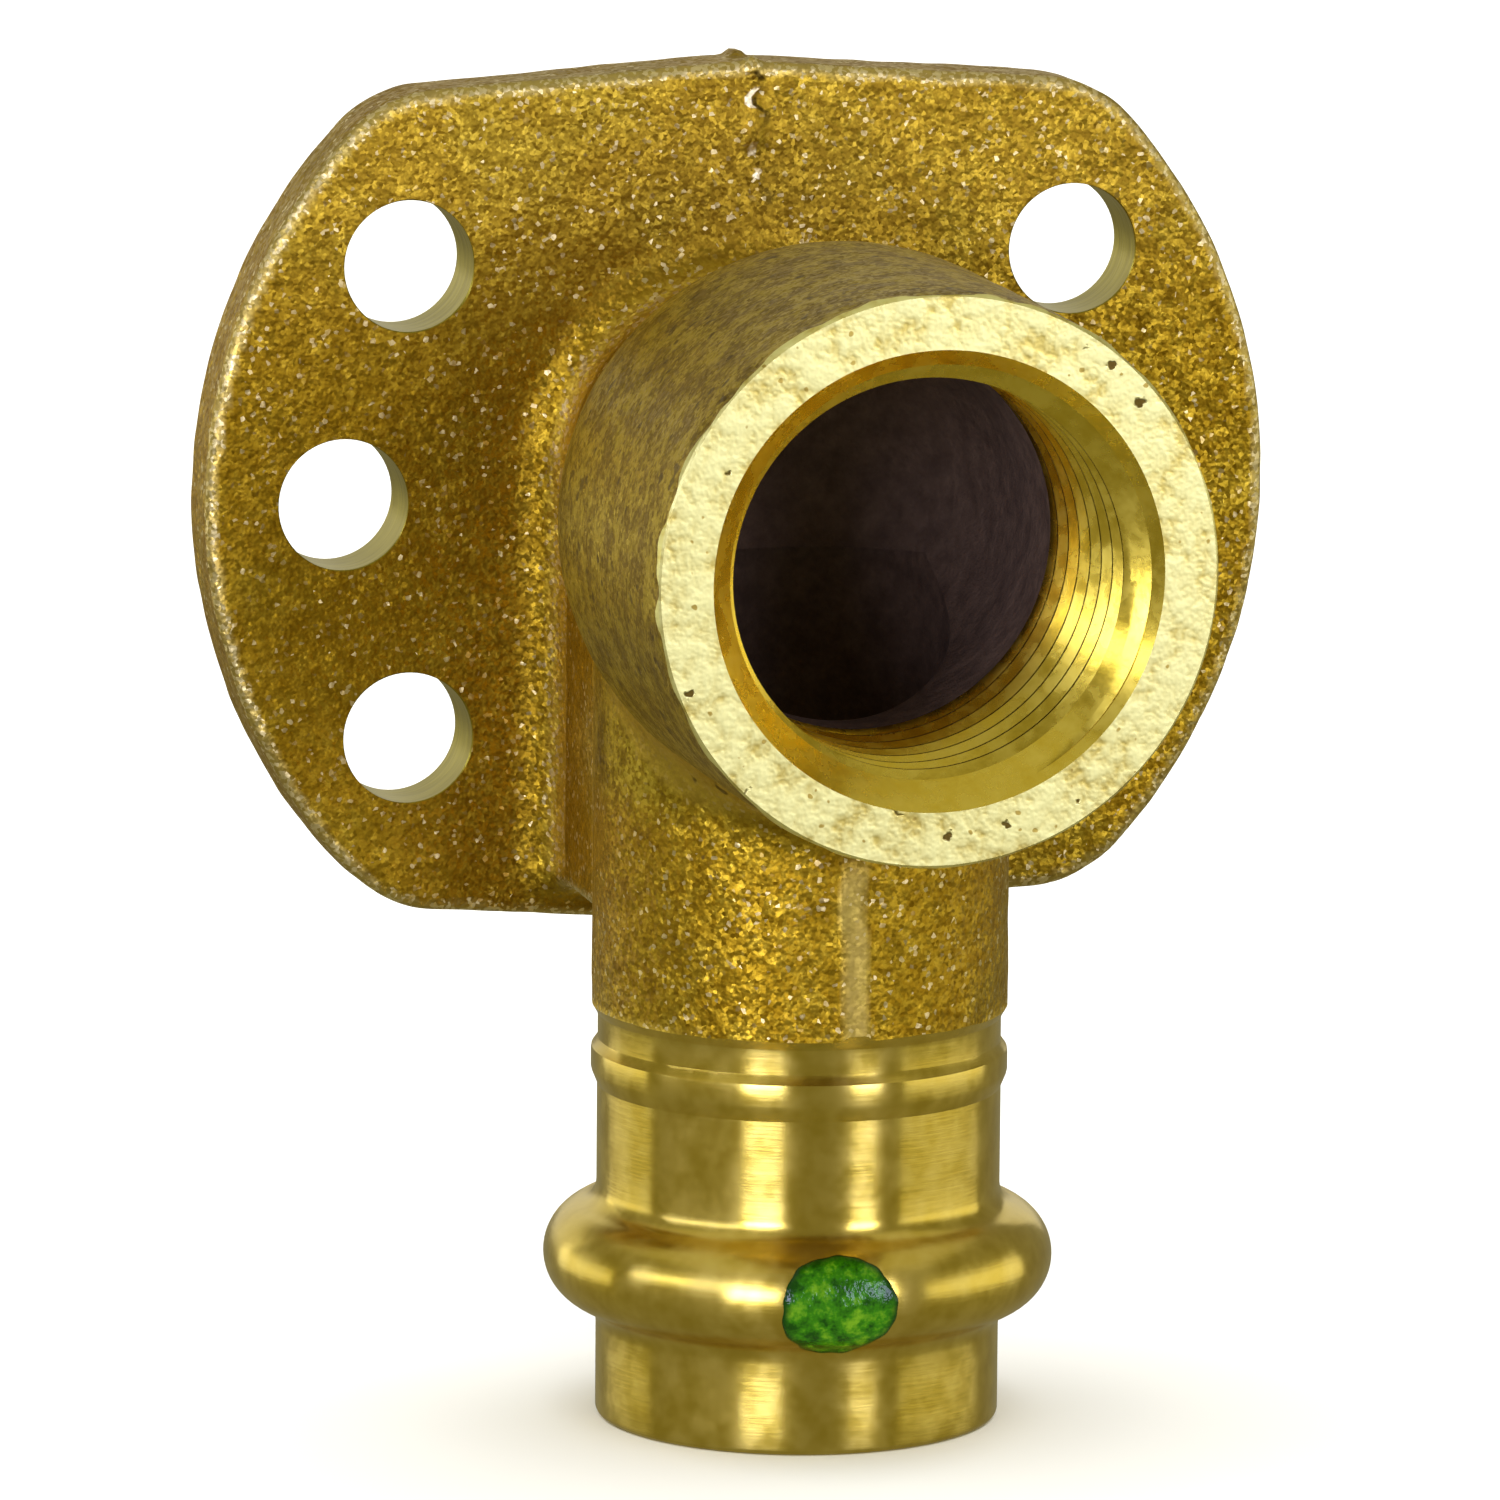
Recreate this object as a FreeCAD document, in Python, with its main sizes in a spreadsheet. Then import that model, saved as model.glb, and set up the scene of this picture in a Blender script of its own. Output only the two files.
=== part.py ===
import FreeCAD, Part
import Sketcher
import math
import os

# Wall plate elbow: a cast pipe fitting that is screwed to a wall.
# Millimetres. The wall plane is Y = 0, the fitting stands towards -Y, +Z is up.
# The threaded boss points into the room (-Y) on the line X = 0, Z = 0.
# The press socket points down (-Z) on the line X = 0, Y = -socket_axis.

V = FreeCAD.Vector
doc = FreeCAD.newDocument("wall_plate_elbow")

# ---------------------------------------------------------------- dimensions
sheet = doc.addObject("Spreadsheet::Sheet", "dims")
SIZES = [
    # plate: a round plate cut flat above and below, with draft from the middle outwards
    ("plate_thickness", 3.7), ("plate_end_radius", 26.5), ("plate_centre_z", -1.3),
    ("plate_half_height", 21.25), ("plate_draft_deg", 4.0), ("plate_corner_radius", 6.5),
    ("plate_rim_radius", 0.5),
    # screw holes: four at the corners of a rectangle and one more on each side
    ("screw_hole_radius", 3.175), ("corner_hole_x", 16.5), ("corner_hole_dz", 11.45),
    ("side_hole_x", 19.7),
    # boss with the female pipe thread, and the narrower throat behind it
    ("boss_radius", 13.35), ("boss_face", 39.4), ("boss_rear", 22.5),
    ("throat_radius", 9.3), ("throat_end", 7.0), ("root_fillet", 2.2),
    ("mouth_radius", 10.65), ("mouth_depth", 1.52), ("thread_radius", 9.13),
    ("thread_depth", 14.1), ("cavity_radius", 9.3), ("cavity_centre", 18.8),
    # neck and press socket
    ("socket_axis", 15.3), ("neck_radius", 10.0), ("neck_end", 24.0),
    ("undercut_radius", 9.65), ("undercut_start", 24.6), ("undercut_end", 25.85),
    ("ridge_radius", 9.95), ("ridge_start", 26.35), ("ridge_end", 27.3),
    ("socket_radius", 9.65), ("socket_start", 28.1), ("socket_end", 44.1),
    ("bead_z", 36.24), ("bead_arc", 2.52), ("bead_arc_centre", 9.66), ("bead_side_fillet", 1.1),
    ("socket_edge", 0.35), ("junction_fillet", 2.5), ("web_rise", 1.9),
    # tube bore, its stop, the waterway above the stop and the groove inside the bead
    ("tube_radius", 8.02), ("tube_stop", 25.1), ("waterway_radius", 7.0), ("entry_chamfer", 0.5),
    ("groove_arc", 1.85), ("groove_arc_centre", 8.89),
    # seal ring
    ("ring_radius", 9.4), ("ring_section", 1.33),
]


class Dim:
    """A size with its value now and its text as a sheet expression."""

    def __init__(self, value, text):
        self.value, self.text = float(value), text

    @staticmethod
    def of(x):
        return x if isinstance(x, Dim) else Dim(x, repr(float(x)))

    def __add__(self, other):
        o = Dim.of(other)
        return Dim(self.value + o.value, "(%s + %s)" % (self.text, o.text))

    def __sub__(self, other):
        o = Dim.of(other)
        return Dim(self.value - o.value, "(%s - %s)" % (self.text, o.text))

    def __mul__(self, other):
        o = Dim.of(other)
        return Dim(self.value * o.value, "(%s * %s)" % (self.text, o.text))

    def over(self, other):
        o = Dim.of(other)
        return Dim(self.value / o.value, "(%s / %s)" % (self.text, o.text))

    def __neg__(self):
        return Dim(-self.value, "(0 - %s)" % self.text)


def root(x):
    return Dim(math.sqrt(x.value), "sqrt(%s)" % x.text)


def tangent(degrees):
    return Dim(math.tan(math.radians(degrees.value)), "tan(%s * 1 deg)" % degrees.text)


class Sizes:
    pass


d = Sizes()
for row, (alias, size) in enumerate(SIZES, start=1):
    sheet.set("A%d" % row, alias)
    sheet.set("B%d" % row, repr(size))
    sheet.setAlias("B%d" % row, alias)
    setattr(d, alias, Dim(size, "dims." + alias))
doc.recompute()


# ---------------------------------------------------------------- sketch helpers
def origin_plane(body, role):
    for feature in body.Origin.OriginFeatures:
        if feature.Role == role:
            return feature
    raise RuntimeError("no origin feature " + role)


def new_sketch(body, name, role):
    sketch = body.newObject("Sketcher::SketchObject", name)
    sketch.AttachmentSupport = [(origin_plane(body, role), "")]
    sketch.MapMode = "FlatFace"
    return sketch


def dimension(sketch, kind, args, name, size):
    size = Dim.of(size)
    index = sketch.addConstraint(Sketcher.Constraint(kind, *args, size.value))
    sketch.renameConstraint(index, name)
    sketch.setExpression("Constraints." + name, size.text)


def pin_point(sketch, geo, pos, name, x, y):
    dimension(sketch, "DistanceX", (geo, pos), name + "_x", x)
    dimension(sketch, "DistanceY", (geo, pos), name + "_y", y)


def outline(sketch, name, points):
    """Closed outline of corners (x, y). A corner with six items (x, y, cx, cy, ccw, radius) is
    reached from the one before it by an arc about (cx, cy)."""
    n = len(points)
    xy = [(Dim.of(p[0]).value, Dim.of(p[1]).value) for p in points]
    parts = []
    for k in range(n):
        a, b, to = xy[k], xy[(k + 1) % n], points[(k + 1) % n]
        if len(to) == 2:
            geo = sketch.addGeometry(Part.LineSegment(V(a[0], a[1], 0), V(b[0], b[1], 0)), False)
            parts.append((geo, 1, 2, None))
        else:
            cx, cy, ccw = Dim.of(to[2]).value, Dim.of(to[3]).value, to[4]
            ta, tb = math.atan2(a[1] - cy, a[0] - cx), math.atan2(b[1] - cy, b[0] - cx)
            circle = Part.Circle(V(cx, cy, 0), V(0, 0, 1), Dim.of(to[5]).value)
            arc = Part.ArcOfCircle(circle, ta, tb) if ccw else Part.ArcOfCircle(circle, tb, ta)
            geo = sketch.addGeometry(arc, False)
            parts.append((geo, 1, 2, to[5]) if ccw else (geo, 2, 1, to[5]))
    for k in range(n):
        here, after = parts[k], parts[(k + 1) % n]
        sketch.addConstraint(Sketcher.Constraint("Coincident", here[0], here[2], after[0], after[1]))
    for k in range(n):
        pin_point(sketch, parts[k][0], parts[k][1], "%s%d" % (name, k), points[k][0], points[k][1])
    for k in range(n):
        if parts[k][3] is not None:
            dimension(sketch, "Radius", (parts[k][0],), "%s%d_r" % (name, k), parts[k][3])


def round_hole(sketch, name, x, z, radius):
    geo = sketch.addGeometry(Part.Circle(V(Dim.of(x).value, Dim.of(z).value, 0), V(0, 0, 1), radius.value), False)
    pin_point(sketch, geo, 3, name, x, z)
    dimension(sketch, "Radius", (geo,), name + "_r", radius)


def edges_where(shape, test):
    return ["Edge%d" % (i + 1) for i, e in enumerate(shape.Edges) if test(e)]


def rounded(body, base, name, names, size, kind="Fillet"):
    feature = body.newObject("PartDesign::" + kind, name)
    feature.Base = (base, names)
    if kind == "Fillet":
        feature.Radius = size.value
        feature.setExpression("Radius", size.text)
    else:
        feature.Size = size.value
        feature.setExpression("Size", size.text)
    doc.recompute()
    if "Invalid" in feature.State or feature.Shape.isNull() or not feature.Shape.isValid():
        raise RuntimeError("%s failed on %d edges" % (name, len(names)))
    return feature


def must_change(before, after, sign, what):
    if (after.Shape.Volume - before) * sign <= 0:
        raise RuntimeError(what + " did not change the solid as it should")


# ---------------------------------------------------------------- the cast and machined body
body = doc.addObject("PartDesign::Body", "elbow_body")
body.Label = "elbow_body"

# plate
sk = new_sketch(body, "plate_round", "XZ_Plane")
round_hole(sk, "disc", 0, d.plate_centre_z, d.plate_end_radius)
plate = body.newObject("PartDesign::Pad", "plate")
plate.Profile = sk
plate.Length = d.plate_thickness.value
plate.setExpression("Length", d.plate_thickness.text)
doc.recompute()
if plate.Shape.BoundBox.YMax > 0.01:
    plate.Reversed = True
    doc.recompute()

top = d.plate_centre_z + d.plate_half_height
low = d.plate_centre_z - d.plate_half_height
fall = tangent(d.plate_draft_deg) * 40
sk = new_sketch(body, "plate_flats_outline", "XZ_Plane")
outline(sk, "top", [(0, top), (40, top - fall), (40, 45), (-40, 45), (-40, top - fall)])
outline(sk, "low", [(0, low), (-40, low + fall), (-40, -50), (40, -50), (40, low + fall)])
flats = body.newObject("PartDesign::Pocket", "plate_flats")
flats.Profile = sk
flats.Type = 1
flats.Midplane = True
volume = plate.Shape.Volume
doc.recompute()
must_change(volume, flats, -1, "plate_flats")


def plate_corner(edge):
    c = edge.CenterOfMass
    bb = edge.BoundBox
    return bb.YLength > 3 and bb.XLength < 0.01 and bb.ZLength < 0.01 and abs(c.x) > 10


corners = rounded(body, flats, "plate_corners", edges_where(flats.Shape, plate_corner), d.plate_corner_radius)

# boss, shoulder and throat, turned about the line X = 0, Z = 0
sk = new_sketch(body, "boss_section", "YZ_Plane")
run = (d.boss_rear - d.throat_end) * 0.5
drop = (d.boss_radius - d.throat_radius) * 0.5
sweep = (run * run + drop * drop).over(drop * 2)
outline(sk, "boss", [
    (-1, 0), (-1, d.throat_radius), (-d.throat_end, d.throat_radius),
    (-d.throat_end - run, d.throat_radius + drop, -d.throat_end, d.throat_radius + sweep, False, sweep),
    (-d.boss_rear, d.boss_radius, -d.boss_rear, d.boss_radius - sweep, True, sweep),
    (-d.boss_face, d.boss_radius), (-d.boss_face, 0)])
boss = body.newObject("PartDesign::Revolution", "boss")
boss.Profile = sk
boss.ReferenceAxis = (sk, ["H_Axis"])
boss.Angle = 360
volume = corners.Shape.Volume
doc.recompute()
must_change(volume, boss, 1, "boss")

# neck and outside of the socket, turned about the socket's own line
def front(radius):
    return -d.socket_axis - radius


bead_half = root(d.bead_arc * d.bead_arc - (d.socket_radius - d.bead_arc_centre) * (d.socket_radius - d.bead_arc_centre))
sk = new_sketch(body, "neck_section", "YZ_Plane")
outline(sk, "neck", [
    (-d.socket_axis, 0), (front(d.neck_radius), 0), (front(d.neck_radius), -d.neck_end),
    (front(d.undercut_radius), -d.undercut_start), (front(d.undercut_radius), -d.undercut_end),
    (front(d.ridge_radius), -d.ridge_start), (front(d.ridge_radius), -d.ridge_end),
    (front(d.socket_radius), -d.socket_start), (front(d.socket_radius), -d.bead_z + bead_half),
    (front(d.socket_radius), -d.bead_z - bead_half, front(d.bead_arc_centre), -d.bead_z, True, d.bead_arc),
    (front(d.socket_radius), -d.socket_end), (-d.socket_axis, -d.socket_end)])
line = sk.addGeometry(Part.LineSegment(V(-d.socket_axis.value, -50, 0), V(-d.socket_axis.value, 10, 0)), True)
pin_point(sk, line, 1, "axis_low", -d.socket_axis, -50)
pin_point(sk, line, 2, "axis_high", -d.socket_axis, 10)
neck = body.newObject("PartDesign::Revolution", "neck")
neck.Profile = sk
neck.ReferenceAxis = (sk, ["Axis0"])
neck.Angle = 360
volume = boss.Shape.Volume
doc.recompute()
must_change(volume, neck, 1, "neck")
tip = neck


# cast fillet all round where the neck runs into the boss, the shoulder and the throat
def neck_root(edge):
    bb = edge.BoundBox
    return (bb.ZMax < -1 and bb.ZMin > -14 and bb.XMax < 10.5 and bb.XMin > -10.5
            and bb.YMin > -26 and bb.YMax < -5 and edge.Length > 1 and bb.ZLength > 0.01 and bb.XLength > 0.01)


tip = rounded(body, tip, "neck_fillet", edges_where(tip.Shape, neck_root), d.junction_fillet)

# web between the plate and the neck, as wide as the throat
sk = new_sketch(body, "web_outline", "XZ_Plane")
web_fall = tangent(d.plate_draft_deg) * d.throat_radius
web_low = low + d.web_rise
outline(sk, "web", [(-d.throat_radius, 0), (-d.throat_radius, web_low + web_fall), (0, web_low),
                    (d.throat_radius, web_low + web_fall), (d.throat_radius, 0)])
web = body.newObject("PartDesign::Pad", "web")
web.Profile = sk
web.Length = d.socket_axis.value
web.setExpression("Length", d.socket_axis.text)
volume = tip.Shape.Volume
doc.recompute()
if not web.Shape.isInside(V(0, -d.plate_thickness.value - 0.5, -18), 0.001, True):
    web.Reversed = not plate.Reversed
    doc.recompute()
must_change(volume, web, 1, "web")
tip = web


# cast fillets where the throat and the web meet the plate
def at_plate_root(edge):
    bb = edge.BoundBox
    return (abs(bb.YMin + d.plate_thickness.value) < 0.01 and bb.YLength < 0.01
            and bb.XMax < 9.5 and bb.XMin > -9.5 and bb.ZMax < 9.5 and bb.ZMin > low.value - 0.5
            and (bb.ZLength > 5))


tip = rounded(body, tip, "root_fillets", edges_where(tip.Shape, at_plate_root), d.root_fillet)


# small radius on the plate's front rim
def front_rim(edge):
    bb = edge.BoundBox
    c = edge.CenterOfMass
    return (abs(bb.YMin + d.plate_thickness.value) < 0.01 and bb.YLength < 0.01
            and (abs(c.x) > 13 or c.z > 15) and edge.Length > 2)


tip = rounded(body, tip, "plate_rim", edges_where(tip.Shape, front_rim), d.plate_rim_radius)


# hollow fillets at the two sides of the bead, and a small radius round the socket's mouth
def bead_side(edge):
    bb = edge.BoundBox
    return (bb.ZLength < 0.01 and abs(bb.XMax - d.socket_radius.value) < 0.05
            and abs(abs(bb.ZMin + d.bead_z.value) - bead_half.value) < 0.01)


def socket_mouth(edge):
    bb = edge.BoundBox
    return bb.ZLength < 0.01 and abs(bb.ZMin + d.socket_end.value) < 0.01 and bb.XMax > 9


tip = rounded(body, tip, "bead_sides", edges_where(tip.Shape, bead_side), d.bead_side_fillet)
tip = rounded(body, tip, "socket_edges", edges_where(tip.Shape, socket_mouth), d.socket_edge)

# threaded bore with its mouth and the cast cavity behind it, cut about the boss line
sk = new_sketch(body, "bore_section", "YZ_Plane")
outline(sk, "bore", [
    (-d.boss_face, 0), (-d.boss_face, d.mouth_radius), (-d.boss_face + d.mouth_depth, d.thread_radius),
    (-d.boss_face + d.thread_depth, d.thread_radius), (-d.boss_face + d.thread_depth, d.cavity_radius),
    (-d.cavity_centre, d.cavity_radius),
    (-d.cavity_centre + d.cavity_radius, 0, -d.cavity_centre, 0, False, d.cavity_radius)])
bore = body.newObject("PartDesign::Groove", "threaded_bore")
bore.Profile = sk
bore.ReferenceAxis = (sk, ["H_Axis"])
bore.Angle = 360
volume = tip.Shape.Volume
doc.recompute()
must_change(volume, bore, -1, "threaded_bore")

# tube bore, ring groove, stop and waterway, cut about the socket line
groove_half = root(d.groove_arc * d.groove_arc - (d.tube_radius - d.groove_arc_centre) * (d.tube_radius - d.groove_arc_centre))
sk = new_sketch(body, "tube_section", "YZ_Plane")
outline(sk, "tube", [
    (-d.socket_axis, -d.socket_end), (front(d.tube_radius + d.entry_chamfer), -d.socket_end),
    (front(d.tube_radius), -d.socket_end + d.entry_chamfer), (front(d.tube_radius), -d.bead_z - groove_half),
    (front(d.tube_radius), -d.bead_z + groove_half, front(d.groove_arc_centre), -d.bead_z, False, d.groove_arc),
    (front(d.tube_radius), -d.tube_stop), (front(d.waterway_radius), -d.tube_stop),
    (front(d.waterway_radius), -3), (-d.socket_axis, -3)])
line = sk.addGeometry(Part.LineSegment(V(-d.socket_axis.value, -50, 0), V(-d.socket_axis.value, 10, 0)), True)
pin_point(sk, line, 1, "axis_low", -d.socket_axis, -50)
pin_point(sk, line, 2, "axis_high", -d.socket_axis, 10)
tube = body.newObject("PartDesign::Groove", "tube_bore")
tube.Profile = sk
tube.ReferenceAxis = (sk, ["Axis0"])
tube.Angle = 360
volume = bore.Shape.Volume
doc.recompute()
must_change(volume, tube, -1, "tube_bore")

# screw holes through the plate
sk = new_sketch(body, "screw_hole_places", "XZ_Plane")
for name, x, z in (("hole_a", d.corner_hole_x, d.plate_centre_z + d.corner_hole_dz),
                   ("hole_b", -d.corner_hole_x, d.plate_centre_z + d.corner_hole_dz),
                   ("hole_c", d.corner_hole_x, d.plate_centre_z - d.corner_hole_dz),
                   ("hole_d", -d.corner_hole_x, d.plate_centre_z - d.corner_hole_dz),
                   ("hole_e", d.side_hole_x, d.plate_centre_z),
                   ("hole_f", -d.side_hole_x, d.plate_centre_z)):
    round_hole(sk, name, x, z, d.screw_hole_radius)
holes = body.newObject("PartDesign::Pocket", "screw_holes")
holes.Profile = sk
holes.Type = 1
holes.Midplane = True
volume = tube.Shape.Volume
doc.recompute()
must_change(volume, holes, -1, "screw_holes")
body.Tip = holes
body.Placement = FreeCAD.Placement(V(0, 0, 0), FreeCAD.Rotation())

# ---------------------------------------------------------------- the seal ring in the bead
ring = doc.addObject("Part::Torus", "seal_ring")
ring.Label = "seal_ring"
ring.setExpression("Radius1", "dims.ring_radius")
ring.setExpression("Radius2", "dims.ring_section")
ring.setExpression("Placement.Base.y", "0 - dims.socket_axis")
ring.setExpression("Placement.Base.z", "0 - dims.bead_z")
doc.recompute()

# ---------------------------------------------------------------- checks and files
for obj in doc.Objects:
    if "Invalid" in obj.State or "Error" in obj.State:
        raise RuntimeError("%s failed: %s" % (obj.Label, obj.State))
pieces = [body, ring]
for piece in pieces:
    shape = piece.Shape
    if shape.isNull() or not shape.isValid() or len(shape.Solids) != 1:
        raise RuntimeError("%s has no single valid solid" % piece.Label)

os.makedirs("parts", exist_ok=True)
for piece in pieces:
    piece.Shape.exportStep("parts/%s.step" % piece.Label)
    box = piece.Shape.optimalBoundingBox()
    print("%s volume %.1f mm3, X %.2f..%.2f, Y %.2f..%.2f, Z %.2f..%.2f" % (
        piece.Label, piece.Shape.Volume, box.XMin, box.XMax, box.YMin, box.YMax, box.ZMin, box.ZMax))
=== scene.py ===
import bpy
import math
import numpy as np
from mathutils import Matrix, Quaternion, Vector


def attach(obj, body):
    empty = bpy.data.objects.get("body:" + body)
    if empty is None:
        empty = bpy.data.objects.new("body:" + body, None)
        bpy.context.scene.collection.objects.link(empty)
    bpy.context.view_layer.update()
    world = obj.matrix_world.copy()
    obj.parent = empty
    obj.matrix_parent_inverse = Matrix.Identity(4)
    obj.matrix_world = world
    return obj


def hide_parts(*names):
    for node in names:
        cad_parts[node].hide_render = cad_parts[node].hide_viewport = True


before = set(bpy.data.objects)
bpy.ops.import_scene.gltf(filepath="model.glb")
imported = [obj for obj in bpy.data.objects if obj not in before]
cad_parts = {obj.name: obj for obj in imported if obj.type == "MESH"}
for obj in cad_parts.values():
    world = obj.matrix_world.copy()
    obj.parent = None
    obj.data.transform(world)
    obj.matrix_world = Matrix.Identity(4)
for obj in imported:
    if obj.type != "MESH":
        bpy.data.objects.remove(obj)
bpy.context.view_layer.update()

# ------------------------------------------------------------------ sizes in millimetres, as in the CAD part
PLATE_T, PLATE_R, PLATE_Z, PLATE_H, PLATE_CORNER = 3.7, 26.5, -1.3, 21.25, 6.5
DRAFT = math.tan(math.radians(4.0))
HOLE_R = 3.175
HOLES = [(16.5, 10.15), (-16.5, 10.15), (16.5, -12.75), (-16.5, -12.75), (19.7, -1.3), (-19.7, -1.3)]
BOSS_R, BOSS_FACE, BOSS_REAR, THROAT_R, THROAT_END = 13.35, 39.4, 22.5, 9.3, 7.0
MOUTH_R, MOUTH_DEPTH, THREAD_R, THREAD_DEPTH = 10.65, 1.52, 9.13, 14.1
CAVITY_R, CAVITY_C = 9.3, 18.8
AXIS_Y, NECK_R, NECK_END = -15.3, 10.0, 24.0
SOCKET_R, SOCKET_END = 9.65, 44.1
BEAD_Z, BEAD_ARC, BEAD_C, BEAD_FILLET = 36.24, 2.52, 9.66, 1.1
TUBE_R, TUBE_STOP, WATER_R = 8.02, 25.1, 7.0
GROOVE_ARC, GROOVE_C = 1.85, 8.89
WEB_RISE = 1.9
TOP, LOW = PLATE_Z + PLATE_H, PLATE_Z - PLATE_H

# material slots of the body, in this order on every mesh that takes part in the cutting
CAST, FACED, TURNED, THREAD, CAVITY, DRILLED, BACK = range(7)


# ------------------------------------------------------------------ noise
def lattice(ix, iy, iz, seed):
    with np.errstate(over="ignore"):
        h = (ix.astype(np.int64) * 73856093) ^ (iy.astype(np.int64) * 19349663) ^ (iz.astype(np.int64) * 83492791)
        h = (h + seed * 2654435761) & 0xFFFFFFFF
        h = ((h ^ (h >> 15)) * 2246822519) & 0xFFFFFFFF
        h = ((h ^ (h >> 13)) * 3266489917) & 0xFFFFFFFF
        h = h ^ (h >> 16)
    return h.astype(np.float64) / 4294967295.0 * 2.0 - 1.0


def noise(p, size, seed):
    """Smooth value noise from -1 to 1, with lumps about size across."""
    q = p / size
    i = np.floor(q)
    f = q - i
    w = f * f * f * (f * (f * 6 - 15) + 10)
    i = i.astype(np.int64)
    total = np.zeros(len(p))
    for dx in (0, 1):
        for dy in (0, 1):
            for dz in (0, 1):
                k = lattice(i[:, 0] + dx, i[:, 1] + dy, i[:, 2] + dz, seed)
                total += k * (w[:, 0] if dx else 1 - w[:, 0]) * (w[:, 1] if dy else 1 - w[:, 1]) * (w[:, 2] if dz else 1 - w[:, 2])
    return total


def ramp(x, a, b):
    t = np.clip((x - a) / (b - a), 0, 1)
    return t * t * (3 - 2 * t)


# ------------------------------------------------------------------ the casting as a signed distance
def fillet_union(a, b, c, r):
    """Union of two solids with a rolling-ball fillet of radius r; c is the cosine between their outward directions."""
    u, v = a - r, b - r
    c = np.clip(c, -0.98, 0.98)
    s = 1 - c * c
    inside = ((u - c * v) < 0) & ((v - c * u) < 0)
    reach = np.sqrt(np.maximum((u * u + v * v - 2 * c * u * v) / s, 0))
    return np.where(inside, np.minimum(np.minimum(a, b), r - reach), np.minimum(a, b))


def round_meet(a, b, r):
    u, v = np.maximum(r + a, 0), np.maximum(r + b, 0)
    return np.minimum(-r, np.maximum(a, b)) + np.sqrt(u * u + v * v)


def plate_outline(x, z, radius, top, low):
    """Signed distance in the plate's plane: a disc cut flat above and below, with rounded corners."""
    x = np.abs(x)
    up = z >= PLATE_Z
    zz = np.where(up, z - PLATE_Z, PLATE_Z - z)
    height = np.where(up, top - PLATE_Z, PLATE_Z - low)
    k = math.radians(4.0)
    nx, nz = math.sin(k), math.cos(k)
    flat = nx * x + nz * zz - nz * height
    disc = np.hypot(x, zz) - radius
    r = PLATE_CORNER
    # centre of the corner's arc: r below the flat and r inside the disc
    m = nz * height - r
    along = np.sqrt((radius - r) ** 2 - m * m)
    cx, cz = nx * m + nz * along, nz * m - nx * along
    vx, vz = x - cx, zz - cz
    corner = (nz * vx - nx * vz > 0) & (-cz * vx + cx * vz > 0)
    return np.where(corner, np.hypot(vx, vz) - r, np.maximum(flat, disc))


RUN, DROP = (BOSS_REAR - THROAT_END) / 2, (BOSS_R - THROAT_R) / 2
SWEEP = (RUN * RUN + DROP * DROP) / (2 * DROP)


def boss_line(y):
    """Radius and slope of the boss, shoulder and throat at a distance y from the wall."""
    a = np.clip(y - THROAT_END, 0, RUN)
    b = np.clip(BOSS_REAR - y, 0, RUN)
    ra = THROAT_R + SWEEP - np.sqrt(SWEEP ** 2 - a * a)
    rb = BOSS_R - SWEEP + np.sqrt(SWEEP ** 2 - b * b)
    first = y < THROAT_END + RUN
    radius = np.where(first, ra, rb)
    slope = np.where(first, a / np.sqrt(SWEEP ** 2 - a * a), b / np.sqrt(SWEEP ** 2 - b * b))
    return radius, slope


SHRINK = 0.07


def casting(x, y, z):
    out = -y
    outline = plate_outline(x, z, PLATE_R - 0.06, TOP - 0.27, LOW + 0.12)
    plate = np.maximum(round_meet(outline, out - PLATE_T, 0.55), -out - 1.2)
    r = np.hypot(x, z) + 1e-9
    line, slope = boss_line(out)
    steep = np.sqrt(1 + slope * slope)
    boss = np.maximum(np.maximum((r - line) / steep, out - 41.0), -out - 1.2)
    rn = np.hypot(x, y - AXIS_Y) + 1e-9
    blank = NECK_R + 2.9 * ramp(-z, NECK_END + 0.35, NECK_END + 0.9)
    neck = np.maximum(np.maximum(rn - blank, z), -46.0 - z)
    web_low = LOW + WEB_RISE + DRAFT * np.abs(x)
    web = np.maximum(round_meet(np.abs(x) - THROAT_R, web_low - z, 0.5), np.maximum(z, np.maximum(-out - 1.2, out + AXIS_Y)))
    c_plate_boss = -slope / steep
    c_boss_neck = (x * x / (r * rn) + slope * (y - AXIS_Y) / rn) / steep
    d = fillet_union(plate, boss, c_plate_boss, 2.2)
    d = np.minimum(d, fillet_union(boss, neck, c_boss_neck, 2.5))
    d = np.minimum(d, fillet_union(plate, web, np.zeros_like(x), 2.2))
    d = np.minimum(d, np.minimum(neck, web))
    return d + SHRINK


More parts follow.
